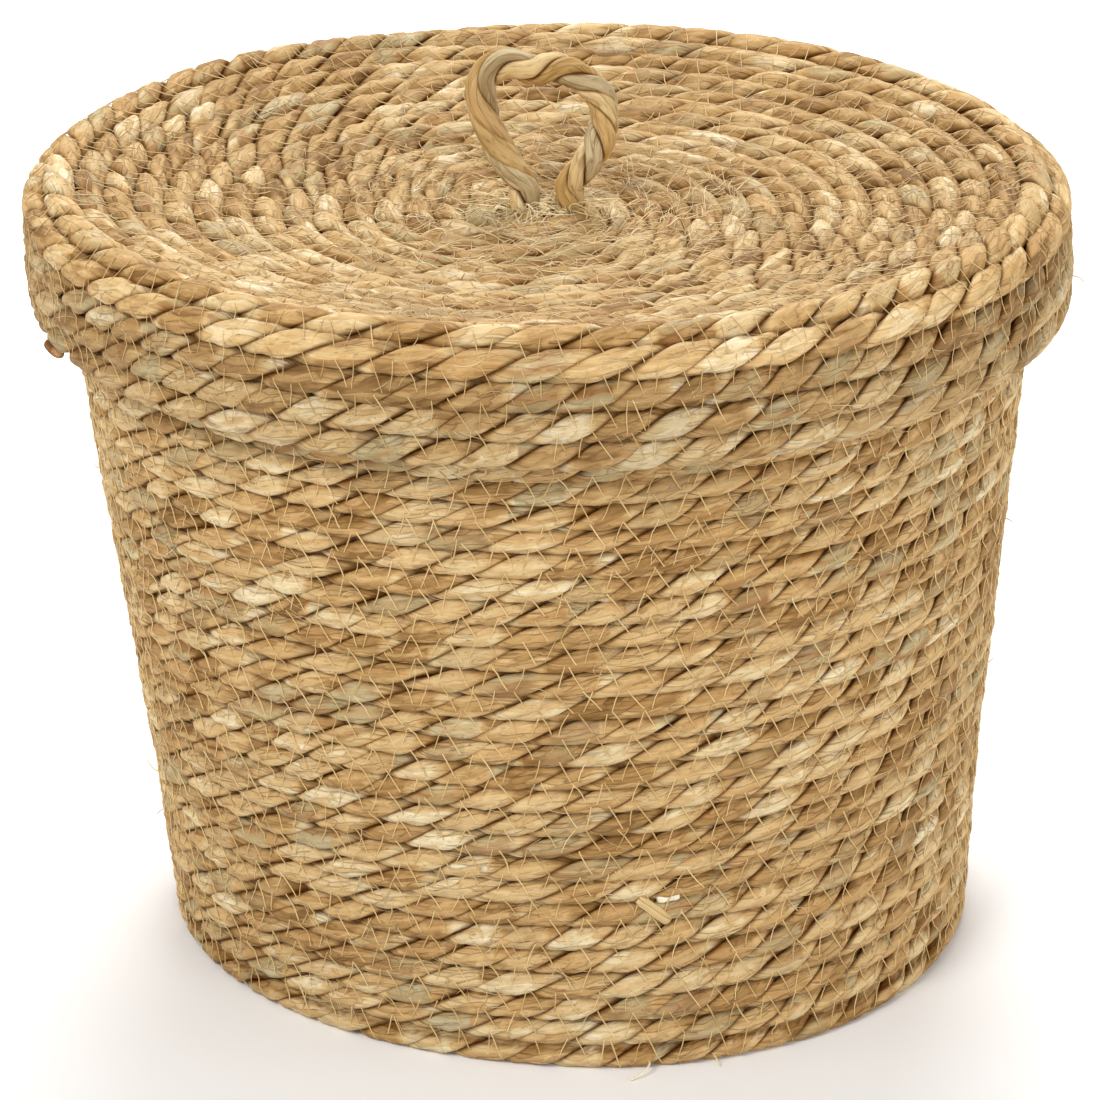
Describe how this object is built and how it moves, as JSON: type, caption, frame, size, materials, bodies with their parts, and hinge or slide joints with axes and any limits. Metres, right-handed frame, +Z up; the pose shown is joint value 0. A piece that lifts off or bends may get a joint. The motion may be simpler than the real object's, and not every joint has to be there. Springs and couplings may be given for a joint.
{
  "type": "laundry basket",
  "caption": "Round lidded laundry basket coiled from twisted seagrass rope, with a dished lift-off lid and a rope loop handle.",
  "frame": {"origin": "centre of the round sole, on the floor", "axes": "+Z up along the basket's axis, -Y towards the viewer, the handle's loop lies in the XZ plane"},
  "size_m": [0.4429, 0.443, 0.387],
  "materials": {
    "wall_seagrass": "matt twisted seagrass, straw to russet",
    "lid_seagrass": "matt twisted seagrass, pale straw",
    "sewing_thread": "slightly shiny golden sewing thread",
    "rope_end": "dry brown rope end",
    "frayed_fibre": "frayed dry fibre",
    "handle_grey": "smooth grey-green leaf",
    "handle_tan": "smooth tan leaf",
    "handle_gold": "smooth golden leaf"
  },
  "bodies": {
    "basket": {"base_rope": "wall_seagrass", "wall_rope_lower": "wall_seagrass", "wall_rope_middle": "wall_seagrass", "wall_rope_upper": "wall_seagrass", "rim_rope": "wall_seagrass", "base_stitching": "sewing_thread", "wall_stitching": "sewing_thread", "wall_splice_end": "rope_end", "rim_rope_end": "rope_end"},
    "lid": {"lid_disc_rope": "lid_seagrass", "lid_shoulder_rope": "lid_seagrass", "lid_skirt_rope": "lid_seagrass", "lid_disc_stitching": "sewing_thread", "lid_skirt_stitching": "sewing_thread", "skirt_rope_end": "rope_end", "handle_leg_left": "handle_tan", "handle_leg_right": "handle_tan", "handle_knot": "handle_tan", "handle_fringe": "frayed_fibre"},
    "handle": {"handle_root_left": "handle_tan", "handle_root_right": "handle_tan", "handle_ply_grey": "handle_grey", "handle_ply_tan": "handle_tan", "handle_ply_gold": "handle_gold"}
  },
  "joints": [
    {"name": "lid_lift", "type": "slide", "parent": "basket", "child": "lid", "axis": [0, 0, 1], "range_m": [0, 0.15]},
    {"name": "handle_tilt", "type": "hinge", "parent": "lid", "child": "handle", "pos_m": [0, 0, 0.3255], "axis": [1, 0, 0], "range_deg": [-70, 70]}
  ]
}
